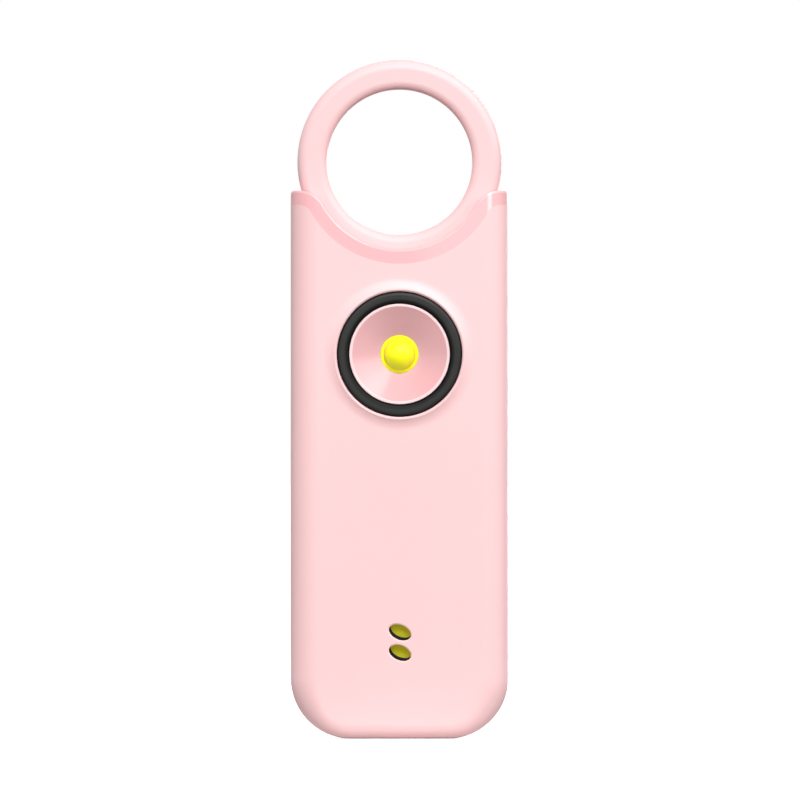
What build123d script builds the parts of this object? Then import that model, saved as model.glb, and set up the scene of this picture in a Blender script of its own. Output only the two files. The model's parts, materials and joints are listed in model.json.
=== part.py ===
from build123d import *
import math
import os

# ---------------------------------------------------------------------------
# Pull-ring personal safety alarm.  Millimetres, +Z up along the case, front
# face towards -Y, origin at the middle of the flat bottom.
# ---------------------------------------------------------------------------

# case
HALF_W = 16.65          # half width of the case
CORNER_R = 9.2          # bottom corner radius seen from the front
HORN_Z = 83.8           # top of the two horns
FRONT_Y = -7.3          # flat front face
REAR_Y = 7.9            # flat rear face
EDGE_R = 2.6            # rounding round the sides and bottom
WALL = 1.6
RIM_R = 0.35            # small rounding along the scoop's rim

# ring
RING_Z = 88.2           # centre of the ring
RING_RO = 15.63         # outer radius
RING_RI = 11.05         # inner radius
RING_HALF_D = 3.8       # half depth
RING_FO = 1.85          # rounding of the outer edges
RING_FI = 1.3           # rounding of the inner edges
TONGUE_W = 4.0          # half width of the tongue
TONGUE_Y0, TONGUE_Y1 = 0.6, 3.2
TONGUE_Z = 62.0         # lower end of the tongue

# scoop and collar
SCOOP_R = 13.7
HORN_R = 4.0            # convex curve from the scoop to the horn
BAND = 2.0              # width of the soft collar
POCKET_R = RING_RO + 0.2
POCKET_Y = RING_HALF_D + 0.25
SADDLE_R = 17.4         # roof of the inside of the case

# light
LIGHT_Z = 58.8
LIP_Y = -8.1            # crest of the raised lip
LIP_RO = 11.9
LIP_RC = 9.95
SEAL_RO, SEAL_RI = 9.55, 7.72
SEAT_R = 9.6
SEAT_Y = -7.0
HOLE_R = 7.85
CUP_R = 7.68
CONE_R = 7.25
CONE_Y = -7.9
LED_R = 2.95
DOME_R = 2.48
LED_Y = -4.3

# sounder
SND_Z = 17.0
SND_R = 12.5
SND_WALL_Y = -6.3       # inside of the thinned front wall
CLAMP_Y1 = -3.7         # rear of the ring that clamps the sounder
SLOTS = [(0.07, 16.25), (0.07, 13.12)]
SLOT_A, SLOT_B, SLOT_TILT = 1.77, 1.13, -23.0
APERTURE_SHIFT = (0.25, 0.45)

# board
PCB_W = 11.0
PCB_Z0, PCB_Z1 = 48.6, 69.4
PCB_Y0, PCB_Y1 = -1.6, -0.6

# trigger switch
SW_Y = 1.9
SW_Z0, SW_Z1 = 51.0, 57.0
TRAVEL_PIN = 0.8

# cells
CELL_R = 5.8
CELL_L = 5.4
CELL_Z = 40.4
CELL_Y = 0.3
CELL_X0 = -8.3

# battery door
DOOR_W = 11.5
DOOR_Z0, DOOR_Z1 = 29.4, 51.4
DOOR_T = 1.0
DOOR_SCREWS = [(0.0, 31.2), (0.0, 49.6)]

# screws
CASE_SCREWS = [(-11.6, 5.4), (11.6, 5.4), (-12.3, 71.8), (12.3, 71.8)]
BOARD_SCREWS = [(-9.2, 66.6), (9.2, 66.6)]
BOARD_POSTS = [(-9.4, 50.4), (9.4, 50.4)]

os.makedirs("parts", exist_ok=True)


# --- helpers ----------------------------------------------------------------
def prism(face, y0, y1):
    """Extrude a front-view (x, z) face from y0 to y1."""
    return extrude(Plane((0, y1, 0), x_dir=(1, 0, 0), z_dir=(0, -1, 0)) * face, amount=y1 - y0)


def rod(x, z, r, y0, y1):
    return Pos(x, (y0 + y1) / 2, z) * Rot(90, 0, 0) * Cylinder(r, y1 - y0)


def block(x0, x1, y0, y1, z0, z1):
    return Pos((x0 + x1) / 2, (y0 + y1) / 2, (z0 + z1) / 2) * Box(x1 - x0, y1 - y0, z1 - z0)


def turned(points, z, x=0.0):
    """Revolve an (r, y) profile about the line through (x, z) along Y."""
    face = make_face(Polyline(*points, close=True))
    return revolve(Plane((x, 0, z)) * face, Axis((x, 0, z), (0, 1, 0)), 360)


XC = math.sqrt((SCOOP_R + HORN_R) ** 2 - (RING_Z - (HORN_Z - HORN_R)) ** 2)
ZC = HORN_Z - HORN_R
PHI = math.degrees(math.atan2(RING_Z - ZC, XC))


def top_curve(d):
    """The case's top outline moved down by d, from right to left."""
    r1, r0 = HORN_R - d, SCOOP_R + d
    return [
        CenterArc((XC, ZC), r1, 90, 90 - PHI),
        CenterArc((0, RING_Z), r0, -PHI, -(180 - 2 * PHI)),
        CenterArc((-XC, ZC), r1, PHI, 90 - PHI),
    ]


def case_outline():
    w, c = HALF_W, CORNER_R
    edges = [Line((w, HORN_Z), (XC, HORN_Z))] + top_curve(0) + [
        Line((-XC, HORN_Z), (-w, HORN_Z)),
        Line((-w, HORN_Z), (-w, c)),
        CenterArc((-w + c, c), c, 180, 90),
        Line((-w + c, 0), (w - c, 0)),
        CenterArc((w - c, c), c, 270, 90),
        Line((w, c), (w, HORN_Z)),
    ]
    return make_face(edges)


def above(d):
    """Everything above the top outline moved down by d."""
    zt = HORN_Z - d
    edges = [Line((40, zt), (XC, zt))] + top_curve(d) + [
        Line((-XC, zt), (-40, zt)),
        Line((-40, zt), (-40, 140)),
        Line((-40, 140), (40, 140)),
        Line((40, 140), (40, zt)),
    ]
    return make_face(edges)


def inside(d, roof_r, roof_z=200.0):
    """Case outline moved in by d, below a circle about the ring's centre."""
    w, c = HALF_W - d, CORNER_R - d
    x = HALF_W - CORNER_R
    top = min(roof_z, HORN_Z)
    edges = [
        Line((w, top), (-w, top)),
        Line((-w, top), (-w, CORNER_R)),
        CenterArc((-x, CORNER_R), c, 180, 90),
        Line((-x, d), (x, d)),
        CenterArc((x, CORNER_R), c, 270, 90),
        Line((w, CORNER_R), (w, top)),
    ]
    return make_face(edges) - Pos(0, RING_Z) * Circle(roof_r)


def edge_ring(solid, y, zmax=82.0):
    """Side and bottom edges of a prism at depth y."""
    out = []
    for e in solid.edges():
        b = e.bounding_box()
        if abs(b.min.Y - y) < 1e-4 and abs(b.max.Y - y) < 1e-4:
            c = e.center()
            on_side = abs(abs(c.X) - abs(b.max.X)) < 1e-4 and b.max.Z - b.min.Z > 30
            if on_side or b.max.Z < 20:
                out.append(e)
    return out


nodes = {}

# --- outer body, used for both shells and the collar --------------------------
body = prism(case_outline(), FRONT_Y, REAR_Y)
body = fillet(edge_ring(body, FRONT_Y) + edge_ring(body, REAR_Y), EDGE_R)

cavity = prism(inside(WALL, SADDLE_R), FRONT_Y + WALL, REAR_Y - WALL)
cavity = fillet(edge_ring(cavity, FRONT_Y + WALL) + edge_ring(cavity, REAR_Y - WALL), EDGE_R - WALL)

band_cut = prism(above(BAND), -20, 20)
pocket = rod(0, RING_Z, POCKET_R, -POCKET_Y, POCKET_Y)

below_band = body - band_cut
hollow = below_band - cavity - pocket

# --- top collar ---------------------------------------------------------------
collar = (body & band_cut) - pocket


def rim_edges(solid, y):
    """Edges of the scoop and the horns at depth y, on the top side."""
    out = []
    for e in solid.edges():
        b = e.bounding_box()
        if abs(b.min.Y - y) < 1e-4 and abs(b.max.Y - y) < 1e-4:
            c = e.position_at(0.5)
            on_scoop = abs(math.hypot(c.X, c.Z - RING_Z) - SCOOP_R) < 0.02 and c.Z < ZC + 2.0
            on_horn = abs(math.hypot(abs(c.X) - XC, c.Z - ZC) - HORN_R) < 0.02
            if on_scoop or on_horn or (abs(c.Z - HORN_Z) < 1e-3):
                out.append(e)
    return out


collar = fillet(rim_edges(collar, FRONT_Y) + rim_edges(collar, REAR_Y), RIM_R)
# small upright seam in the right horn
notch = Pos(13.78, FRONT_Y, 83.0) * Rot(0, 0, 45) * Box(0.36, 0.36, 4.8)
collar = collar - notch
nodes["top_collar"] = collar

# --- case gasket --------------------------------------------------------------
gasket_face = inside(0.45, POCKET_R + 0.4, HORN_Z - BAND - 0.45) - inside(1.15, POCKET_R + 1.1, HORN_Z - BAND - 1.15)
gasket = prism(gasket_face, -0.6, 0.0)
nodes["case_gasket"] = gasket

# --- front shell --------------------------------------------------------------
front = hollow & block(-30, 30, -20, 0, -5, 100)
for x, z in CASE_SCREWS:
    front = front + rod(x, z, 2.2, FRONT_Y + WALL - 0.2, 0)
for x, z in BOARD_SCREWS:
    front = front + rod(x, z, 1.8, FRONT_Y + WALL - 0.2, PCB_Y0)
for x, z in BOARD_POSTS:
    front = front + rod(x, z, 1.5, FRONT_Y + WALL - 0.2, PCB_Y0)
# raised lip round the light
rho = ((LIP_RO - LIP_RC) ** 2 + (FRONT_Y - LIP_Y) ** 2) / (2 * (FRONT_Y - LIP_Y))
lip_a = Vector(LIP_RO, FRONT_Y)
ang = math.asin((LIP_RO - LIP_RC) / rho)
lip_m = Vector(LIP_RO - rho * math.sin(ang / 2), FRONT_Y - rho * (1 - math.cos(ang / 2)))
lip_profile = make_face([
    Line((LIP_RO, FRONT_Y + 0.4), (LIP_RO, FRONT_Y)),
    ThreePointArc((LIP_RO, FRONT_Y), (lip_m.X, lip_m.Y), (LIP_RC, LIP_Y)),
    Line((LIP_RC, LIP_Y), (SEAT_R + 0.12, LIP_Y)),
    Line((SEAT_R + 0.12, LIP_Y), (SEAT_R, LIP_Y + 0.12)),
    Line((SEAT_R, LIP_Y + 0.12), (SEAT_R, FRONT_Y + 0.4)),
    Line((SEAT_R, FRONT_Y + 0.4), (LIP_RO, FRONT_Y + 0.4)),
])
lip = revolve(Plane((0, 0, LIGHT_Z)) * lip_profile, Axis((0, 0, LIGHT_Z), (0, 1, 0)), 360)
front = front + lip
front = front - rod(0, LIGHT_Z, HOLE_R, -12, -5) - rod(0, LIGHT_Z, SEAT_R, -12, SEAT_Y)
# thinned wall in front of the sounder, with its rim
front = front + (rod(0, SND_Z, SND_R + 1.7, FRONT_Y + WALL - 0.2, -4.9) - rod(0, SND_Z, SND_R + 0.5, -6.5, -4.0))
front = front - rod(0, SND_Z, SND_R + 0.5, SND_WALL_Y, -4.0)


def slot_face(dx=0.0, dz=0.0, grow=0.0):
    f = None
    for x, z in SLOTS:
        e = Pos(x + dx, z + dz) * Rot(0, 0, SLOT_TILT) * Ellipse(SLOT_A + grow, SLOT_B + grow)
        f = e if f is None else f + e
    return f


front = front - prism(slot_face(), -9, SND_WALL_Y + 0.1)
for x, z in CASE_SCREWS:
    front = front - rod(x, z, 0.82, -4.8, 0.1)
for x, z in BOARD_SCREWS:
    front = front - rod(x, z, 0.62, -5.2, PCB_Y0 + 0.1)
front = front - gasket
front = front & (body - band_cut + lip)
nodes["front_shell"] = front

# --- rear shell ---------------------------------------------------------------
rear = hollow & block(-30, 30, 0, 20, -5, 100)
for x, z in CASE_SCREWS:
    rear = rear + rod(x, z, 2.5, 0, REAR_Y - WALL + 0.2)
for x, z in DOOR_SCREWS:
    rear = rear + rod(x, z, 1.9, 4.2, REAR_Y - WALL + 0.2)
for a in (30, 150, 270):
    x, z = 11.9 * math.cos(math.radians(a)), SND_Z + 11.9 * math.sin(math.radians(a))
    rear = rear + rod(x, z, 1.2, CLAMP_Y1 + 0.02, REAR_Y - WALL + 0.2)
# rails beside the tongue, and the pad that carries the keeper plate
for s in (-1, 1):
    a, b = sorted((s * (TONGUE_W + 0.2), s * (TONGUE_W + 1.4)))
    rear = rear + block(a, b, 0.4, REAR_Y - WALL + 0.2, 61.4, 71.4)
rear = rear + block(-TONGUE_W - 0.3, TONGUE_W + 0.3, 3.95, REAR_Y - WALL + 0.2, 62.6, 70.4)
rear = rear & (body - band_cut)
# way in for the tongue
rear = rear - block(-TONGUE_W - 0.2, TONGUE_W + 0.2, TONGUE_Y0 - 0.2, TONGUE_Y1 + 0.2, 61, 76) - pocket
# rear opening for the cells, and the seat of the lid
seat = Pos(0, REAR_Y - DOOR_T / 2, (DOOR_Z0 + DOOR_Z1) / 2) * Box(2 * DOOR_W + 0.3, DOOR_T, DOOR_Z1 - DOOR_Z0 + 0.3)
seat = fillet(seat.edges().filter_by(Axis.Y), 2.15)
rear = rear - seat
rear = rear - block(-10.7, 10.7, 5.5, 9, 33.3, 47.5)
for x, z in DOOR_SCREWS:
    rear = rear - rod(x, z, 0.85, 4.0, 9)
for x, z in CASE_SCREWS:
    rear = rear - rod(x, z, 1.9, 5.4, 9) - rod(x, z, 0.95, -0.1, 9)
nodes["rear_shell"] = rear

# --- pull ring with its tongue --------------------------------------------------
ring = rod(0, RING_Z, RING_RO, -RING_HALF_D, RING_HALF_D) - rod(0, RING_Z, RING_RI, -9, 9)
outer_e = [e for e in ring.edges().filter_by(GeomType.CIRCLE) if abs(e.radius - RING_RO) < 1e-3]
inner_e = [e for e in ring.edges().filter_by(GeomType.CIRCLE) if abs(e.radius - RING_RI) < 1e-3]
ring = fillet(outer_e, RING_FO)
inner_e = [e for e in ring.edges().filter_by(GeomType.CIRCLE) if abs(e.radius - RING_RI) < 1e-3]
ring = fillet(inner_e, RING_FI)
tongue = block(-TONGUE_W, TONGUE_W, TONGUE_Y0, TONGUE_Y1, TONGUE_Z, RING_Z - RING_RO + 1.5)
tongue = chamfer(tongue.edges().filter_by(Axis.Y).sort_by(Axis.Z)[:2], 1.0)
MAG_Z, MAG_R = 66.6, 2.0
ring = ring + tongue
ring = ring - rod(0, MAG_Z, MAG_R + 0.02, 1.9, 4)
nodes["pull_ring"] = ring
nodes["ring_magnet"] = rod(0, MAG_Z, MAG_R, 1.9, 3.15)
nodes["keeper_plate"] = block(-3.4, 3.4, 3.42, 3.95, 63.0, 70.2)

# --- light ----------------------------------------------------------------------
seal_profile = make_face([
    Line((SEAL_RI, SEAT_Y), (SEAL_RO, SEAT_Y)),
    Line((SEAL_RO, SEAT_Y), (SEAL_RO, -7.25)),
    ThreePointArc((SEAL_RO, -7.25), ((SEAL_RO + SEAL_RI) / 2, -7.95), (SEAL_RI, -7.25)),
    Line((SEAL_RI, -7.25), (SEAL_RI, SEAT_Y)),
])
nodes["strobe_seal"] = revolve(Plane((0, 0, LIGHT_Z)) * seal_profile, Axis((0, 0, LIGHT_Z), (0, 1, 0)), 360)
reflector = turned([
    (CUP_R, CONE_Y + 0.1), (CUP_R - 0.1, CONE_Y), (CONE_R + 0.1, CONE_Y), (CONE_R, CONE_Y + 0.1),
    (LED_R + 0.05, -4.2), (LED_R + 0.05, -3.5), (4.9, -3.5), (4.9, PCB_Y0), (5.6, PCB_Y0), (5.6, -3.9),
    (CUP_R, -5.0), (9.3, -5.0), (9.3, FRONT_Y + WALL), (CUP_R, FRONT_Y + WALL),
], LIGHT_Z)
nodes["strobe_reflector"] = reflector
led_profile = make_face([
    Line((0, LED_Y - DOME_R), (0, -3.4)),
    Line((0, -3.4), (LED_R, -3.4)),
    Line((LED_R, -3.4), (LED_R, LED_Y)),
    Line((LED_R, LED_Y), (DOME_R, LED_Y)),
    ThreePointArc((DOME_R, LED_Y), (DOME_R * math.sin(math.pi / 4), LED_Y - DOME_R * math.cos(math.pi / 4)), (0, LED_Y - DOME_R)),
])
nodes["strobe_led"] = revolve(Plane((0, 0, LIGHT_Z)) * led_profile, Axis((0, 0, LIGHT_Z), (0, 1, 0)), 360)
nodes["led_leads"] = Compound(children=[rod(x, LIGHT_Z, 0.25, -3.4, -0.25) for x in (-1.27, 1.27)])

# --- board ------------------------------------------------------------------------
board = block(-PCB_W, PCB_W, PCB_Y0, PCB_Y1, PCB_Z0, PCB_Z1)
board = fillet(board.edges().filter_by(Axis.Y), 1.0)
for x, z in BOARD_SCREWS:
    board = board - rod(x, z, 0.75, -3, 1)
for x in (-1.27, 1.27):
    board = board - rod(x, LIGHT_Z, 0.4, -3, 1)
nodes["circuit_board"] = board
core = turned([(0, PCB_Y1), (2.9, PCB_Y1), (2.9, 0.1), (1.3, 0.1), (1.3, 3.4), (2.9, 3.4), (2.9, 4.1), (0, 4.1)], 54.0, -7.2)
nodes["boost_coil_core"] = core
nodes["boost_coil_winding"] = turned([(1.35, 0.15), (2.6, 0.15), (2.6, 3.35), (1.35, 3.35)], 54.0, -7.2)
chip = block(5.0, 9.0, PCB_Y1 + 0.15, PCB_Y1 + 1.6, 52.2, 57.2)
nodes["driver_chip"] = chip
leads = []
for k in range(4):
    z = 52.2 + 0.6 + 1.27 * k
    for s, x in ((-1, 5.0), (1, 9.0)):
        a, b = sorted((x, x + s * 0.9))
        leads.append(block(a, b, PCB_Y1, PCB_Y1 + 0.2, z - 0.2, z + 0.2)
                     + block(min(x, x + s * 0.25), max(x, x + s * 0.25), PCB_Y1, PCB_Y1 + 0.8, z - 0.2, z + 0.2))
nodes["chip_leads"] = Compound(children=leads)
nodes["chip_capacitors"] = Compound(children=[
    block(x - 1.0, x + 1.0, PCB_Y1, PCB_Y1 + 1.1, z - 0.65, z + 0.65) for x, z in ((7.0, 60.2), (7.0, 62.4), (-7.6, 59.8))])
nodes["chip_resistors"] = Compound(children=[
    block(x - 0.8, x + 0.8, PCB_Y1, PCB_Y1 + 0.5, z - 0.4, z + 0.4) for x, z in ((-8.0, 61.9), (-8.0, 63.3), (7.0, 50.4), (-3.6, 49.6))])

# --- trigger switch ------------------------------------------------------------------
house = block(-2.9, 2.9, PCB_Y1, SW_Y + 1.9, SW_Z0, SW_Z1 - 0.8)
house = house - Pos(0, SW_Y, (52.0 + SW_Z1) / 2) * Cylinder(1.6, SW_Z1 - 52.0)
nodes["trigger_switch"] = house
cover = block(-2.9, 2.9, PCB_Y1, SW_Y + 1.9, SW_Z1 - 0.8, SW_Z1) - Pos(0, SW_Y, SW_Z1) * Cylinder(1.05, 4)
nodes["trigger_switch_cover"] = cover
pin = Pos(0, SW_Y, (54.0 + 61.95) / 2) * Cylinder(0.98, 61.95 - 54.0)
pin = chamfer(pin.edges().sort_by(Axis.Z)[-1], 0.2)
pin = pin + Pos(0, SW_Y, 54.6 + 0.35) * Cylinder(1.45, 0.7)
nodes["trigger_plunger"] = pin
SPR_R, SPR_W = 1.2, 0.13
spring_path = Helix(pitch=0.46, height=2.3, radius=SPR_R, center=(0, SW_Y, 52.15))
spring_start = spring_path @ 0
spring_sec = Plane(origin=spring_start, z_dir=spring_path % 0) * Circle(SPR_W)
nodes["trigger_spring"] = sweep(spring_sec, path=spring_path)

# --- sounder -----------------------------------------------------------------------------
web = rod(0, SND_Z, SND_R + 0.45, SND_WALL_Y, SND_WALL_Y + 0.3)
rim = rod(0, SND_Z, SND_R + 0.45, SND_WALL_Y, SND_WALL_Y + 0.55) - rod(0, SND_Z, SND_R - 1.2, SND_WALL_Y, -5)
sg = web + rim
sg = sg - prism(slot_face(*APERTURE_SHIFT), -9, -4)
nodes["siren_gasket"] = sg
Y_DISC = SND_WALL_Y + 0.55
nodes["siren_disc"] = rod(0, SND_Z, SND_R, Y_DISC, Y_DISC + 0.25)
nodes["siren_ceramic"] = rod(0, SND_Z, 9.8, Y_DISC + 0.25, Y_DISC + 0.45)
clamp_y0, clamp_y1 = Y_DISC + 0.25, CLAMP_Y1
clamp = rod(0, SND_Z, SND_R + 0.4, clamp_y0, clamp_y1) - rod(0, SND_Z, SND_R - 1.6, -6, -3)
clamp = clamp + (rod(0, SND_Z, SND_R + 1.7, -4.9, clamp_y1) - rod(0, SND_Z, SND_R - 1.6, -6, -3))
clamp = clamp & prism(inside(WALL + 0.15, SADDLE_R), -10, 10)
nodes["siren_clamp"] = clamp

# --- cells and their contacts ---------------------------------------------------------------
def cell(x0):
    pts = [(0, x0), (CELL_R, x0), (CELL_R, x0 + 4.6), (CELL_R - 0.5, x0 + 4.9), (CELL_R - 0.9, x0 + 4.9),
           (CELL_R - 0.9, x0 + CELL_L - 0.05), (0, x0 + CELL_L - 0.05)]
    f = make_face(Polyline(*pts, close=True))
    # (radius, x) profile about the stack's axis
    pl = Plane(origin=(0, CELL_Y, CELL_Z), x_dir=(0, 0, 1), z_dir=(0, 1, 0))
    return revolve(pl * f, Axis((0, CELL_Y, CELL_Z), (1, 0, 0)), 360)


nodes["button_cells"] = Compound(children=[cell(CELL_X0 + k * CELL_L) for k in range(3)])
cradle = block(-10.6, 10.6, -4.6, 6.2, 33.4, 47.4)
cradle = cradle - Pos(0, CELL_Y, CELL_Z) * Rot(0, 90, 0) * Cylinder(CELL_R + 0.15, 18.4)
cradle = cradle - block(-9.2, 9.2, CELL_Y, 9, CELL_Z - CELL_R - 0.15, CELL_Z + CELL_R + 0.15)
for s in (-1, 1):
    a, b = sorted((s * 9.2, s * 8.2))
    cradle = cradle - block(a, b, -0.5, 1.1, 45.0, 48.0)
nodes["battery_cradle"] = cradle
nodes["battery_contact_plate"] = block(-9.15, -8.35, CELL_Y - 3, CELL_Y + 3, CELL_Z - 3, CELL_Z + 3) - block(
    -8.85, -8.3, CELL_Y - 2.2, CELL_Y + 2.2, CELL_Z - 4, CELL_Z + 4)
x_end = CELL_X0 + 3 * CELL_L
leaf = make_face([
    ThreePointArc((9.15, -3.2), (x_end + 0.05, 0), (9.15, 3.2)),
    Line((9.15, 3.2), (9.15, 2.8)),
    ThreePointArc((9.15, 2.8), (x_end + 0.3, 0), (9.15, -2.8)),
    Line((9.15, -2.8), (9.15, -3.2)),
])
nodes["battery_contact_spring"] = extrude(Pos(0, 0, CELL_Z - 2.5) * Pos(0, CELL_Y) * leaf, amount=5.0)

# --- battery door ------------------------------------------------------------------------------
door = Pos(0, REAR_Y - DOOR_T / 2, (DOOR_Z0 + DOOR_Z1) / 2) * Box(2 * DOOR_W, DOOR_T - 0.05, DOOR_Z1 - DOOR_Z0)
door = fillet(door.edges().filter_by(Axis.Y), 2.0)
door = door + block(-10.2, 10.2, 6.35, REAR_Y - DOOR_T + 0.1, 33.8, 47.0)
for x, z in DOOR_SCREWS:
    door = door - turned([(0, 4), (0.9, 4), (0.9, 7.0), (1.75, REAR_Y - 0.05), (1.75, 9), (0, 9)], z, x)
nodes["battery_door"] = door
nodes["battery_door_gasket"] = block(-10.62, 10.62, 6.35, 6.85, 33.38, 47.42) - block(-10.22, 10.22, 6, 7, 33.78, 47.02)

nodes["battery_door_screws"] = Compound(children=[
    turned([(0, 4.6), (0.55, 4.6), (0.8, 4.9), (0.8, 7.05), (1.6, REAR_Y - 0.12), (0, REAR_Y - 0.12)], z, x)
    - block(x - 1.1, x + 1.1, 7.4, 9, z - 0.17, z + 0.17) - block(x - 0.17, x + 0.17, 7.4, 9, z - 1.1, z + 1.1)
    for x, z in DOOR_SCREWS])

# --- fasteners of the case and the board -----------------------------------------------------------
nodes["case_screws"] = Compound(children=[
    turned([(0, -4.6), (0.5, -4.6), (0.8, -4.2), (0.8, 5.4), (1.7, 5.4), (1.7, 6.3), (1.35, 6.7), (0, 6.7)], z, x)
    - block(x - 1.1, x + 1.1, 6.0, 9, z - 0.2, z + 0.2) - block(x - 0.2, x + 0.2, 6.0, 9, z - 1.1, z + 1.1)
    for x, z in CASE_SCREWS])
nodes["board_screws"] = Compound(children=[
    turned([(0, -5.0), (0.4, -5.0), (0.6, -4.7), (0.6, PCB_Y1), (1.25, PCB_Y1), (1.25, -0.1), (1.0, 0.1), (0, 0.1)], z, x)
    - block(x - 0.8, x + 0.8, -0.3, 9, z - 0.14, z + 0.14) - block(x - 0.14, x + 0.14, -0.3, 9, z - 0.8, z + 0.8)
    for x, z in BOARD_SCREWS])

# --- wires ---------------------------------------------------------------------------------------------
def wire(pts, radii, r):
    path = FilletPolyline(*pts, radius=radii)
    sec = Plane(origin=path @ 0, z_dir=path % 0) * Circle(r)
    return sweep(sec, path=path)


def siren_lead(s):
    return wire([(s * 3.0, SND_WALL_Y + 1.35, 20.0), (s * 3.0, -2.6, 26.0), (s * 12.5, -2.6, 34.0), (s * 12.5, -2.5, 47.9),
                 (s * 6.6, -2.2, 48.7), (s * 6.6, PCB_Y0 - 0.34, 50.6)], [1.6, 2.4, 2.0, 0.7], 0.28)


nodes["siren_leads"] = Compound(children=[siren_lead(-1), siren_lead(1)])
nodes["battery_leads"] = Compound(children=[
    wire([(x, CELL_Y, z0), (x, CELL_Y, 47.6), (x, PCB_Y1 + 0.33, 49.9)], [1.2], 0.28) for x, z0 in ((-8.72, 43.45), (8.74, 42.95))])

for name, shape in nodes.items():
    export_step(shape if isinstance(shape, (Solid, Compound)) else Compound(children=list(shape)), f"parts/{name}.step")
    print(name, round(shape.volume, 3), len(shape.solids()))
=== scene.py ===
import bpy, bmesh, json, math
from mathutils import Vector, Matrix


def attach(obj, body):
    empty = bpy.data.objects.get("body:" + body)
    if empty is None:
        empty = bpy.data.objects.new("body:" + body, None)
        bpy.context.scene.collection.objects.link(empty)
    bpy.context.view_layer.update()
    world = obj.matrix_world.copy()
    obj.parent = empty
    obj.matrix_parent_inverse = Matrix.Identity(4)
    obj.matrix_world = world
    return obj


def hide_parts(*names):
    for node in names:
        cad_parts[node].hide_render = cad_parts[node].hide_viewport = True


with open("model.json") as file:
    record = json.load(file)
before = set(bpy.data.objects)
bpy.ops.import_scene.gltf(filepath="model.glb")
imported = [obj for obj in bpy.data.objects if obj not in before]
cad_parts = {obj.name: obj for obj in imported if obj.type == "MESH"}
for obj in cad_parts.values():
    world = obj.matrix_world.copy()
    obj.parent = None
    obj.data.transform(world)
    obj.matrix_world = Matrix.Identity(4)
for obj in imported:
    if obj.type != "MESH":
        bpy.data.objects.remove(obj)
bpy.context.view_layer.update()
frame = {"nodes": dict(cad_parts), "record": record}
NODES = frame["nodes"]
MM = 0.001

# --------------------------------------------------------------------------- sizes, mm
HALF_W, CORNER_R, HORN_Z = 16.65, 9.2, 83.8
FRONT_Y, REAR_Y, WALL = -7.3, 7.9, 1.6
R_FRONT, R_REAR, R_BOTTOM = 4.2, 3.3, 2.2
RING_Z, RING_RO, RING_RI, RING_D = 88.2, 15.63, 11.14, 3.8
SCOOP_R, HORN_R, BAND = 13.42, 4.28, 2.15
POCKET_R, POCKET_Y = 15.83, 4.05
SADDLE_R = 17.4
LIGHT_Z = 58.8
SND_Z = 17.0
XC = math.sqrt((SCOOP_R + HORN_R) ** 2 - (RING_Z - (HORN_Z - HORN_R)) ** 2)
ZC = HORN_Z - HORN_R
PHI = math.atan2(RING_Z - ZC, XC)


# --------------------------------------------------------------------------- mesh helpers (all in mm)
def make(name, verts, faces):
    me = bpy.data.meshes.new(name)
    me.from_pydata([tuple(v) for v in verts], [], faces)
    bm = bmesh.new()
    bm.from_mesh(me)
    bmesh.ops.remove_doubles(bm, verts=bm.verts, dist=1e-6)
    bmesh.ops.recalc_face_normals(bm, faces=bm.faces)
    bm.to_mesh(me)
    bm.free()
    o = bpy.data.objects.new(name, me)
    bpy.context.scene.collection.objects.link(o)
    return o


def drop(o):
    me = o.data
    bpy.data.objects.remove(o)
    if me.users == 0:
        bpy.data.meshes.remove(me)


def boolean(o, tool, op="DIFFERENCE", keep=False):
    m = o.modifiers.new("b", "BOOLEAN")
    m.operation, m.object, m.solver = op, tool, "MANIFOLD"
    dg = bpy.context.evaluated_depsgraph_get()
    me = bpy.data.meshes.new_from_object(o.evaluated_get(dg))
    o.modifiers.clear()
    old = o.data
    o.data = me
    bpy.data.meshes.remove(old)
    if not keep:
        drop(tool)
    return o


def prism(name, loop, y0, y1):
    """A front-view loop of (x, z) points, pulled from y0 to y1."""
    n = len(loop)
    verts = [(x, y0, z) for x, z in loop] + [(x, y1, z) for x, z in loop]
    faces = [tuple(range(n)), tuple(range(2 * n - 1, n - 1, -1))]
    faces += [(i, (i + 1) % n, n + (i + 1) % n, n + i) for i in range(n)]
    return make(name, verts, faces)


def loft(name, loops):
    """Closed solid through rings of 3-D points of equal count, capped at both ends."""
    n = len(loops[0])
    verts = [p for ring in loops for p in ring]
    faces = []
    for k in range(len(loops) - 1):
        a, b = k * n, (k + 1) * n
        faces += [(a + i, a + (i + 1) % n, b + (i + 1) % n, b + i) for i in range(n)]
    faces += [tuple(range(n)), tuple(range((len(loops) - 1) * n, len(loops) * n))]
    return make(name, verts, faces)


def circle(x, z, r, n=128, start=0.0):
    return [(x + r * math.cos(start + 2 * math.pi * i / n), z + r * math.sin(start + 2 * math.pi * i / n)) for i in range(n)]


def rod(x, z, r, y0, y1, n=128):
    return prism("rod", circle(x, z, r, n), y0, y1)


def block(x0, x1, y0, y1, z0, z1):
    return prism("block", [(x0, z0), (x1, z0), (x1, z1), (x0, z1)], y0, y1)


def lathe(name, profile, z, x=0.0, n=192):
    """Turns a closed (r, y) profile about the line through (x, z) along Y."""
    closed = all(r > 1e-9 for r, _ in profile)
    verts, faces, first = [], [], []
    for r, y in profile:
        first.append(len(verts))
        if r > 1e-9:
            verts += [(x + r * math.cos(2 * math.pi * i / n), y, z + r * math.sin(2 * math.pi * i / n)) for i in range(n)]
        else:
            verts.append((x, y, z))
    m = len(profile)
    for k in range(m if closed else m - 1):
        a, b = first[k], first[(k + 1) % m]
        for i in range(n):
            j = (i + 1) % n
            if profile[k][0] <= 1e-9:
                faces.append((a, b + j, b + i))
            elif profile[(k + 1) % m][0] <= 1e-9:
                faces.append((a + i, a + j, b))
            else:
                faces.append((a + i, a + j, b + j, b + i))
    return make(name, verts, faces)


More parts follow.
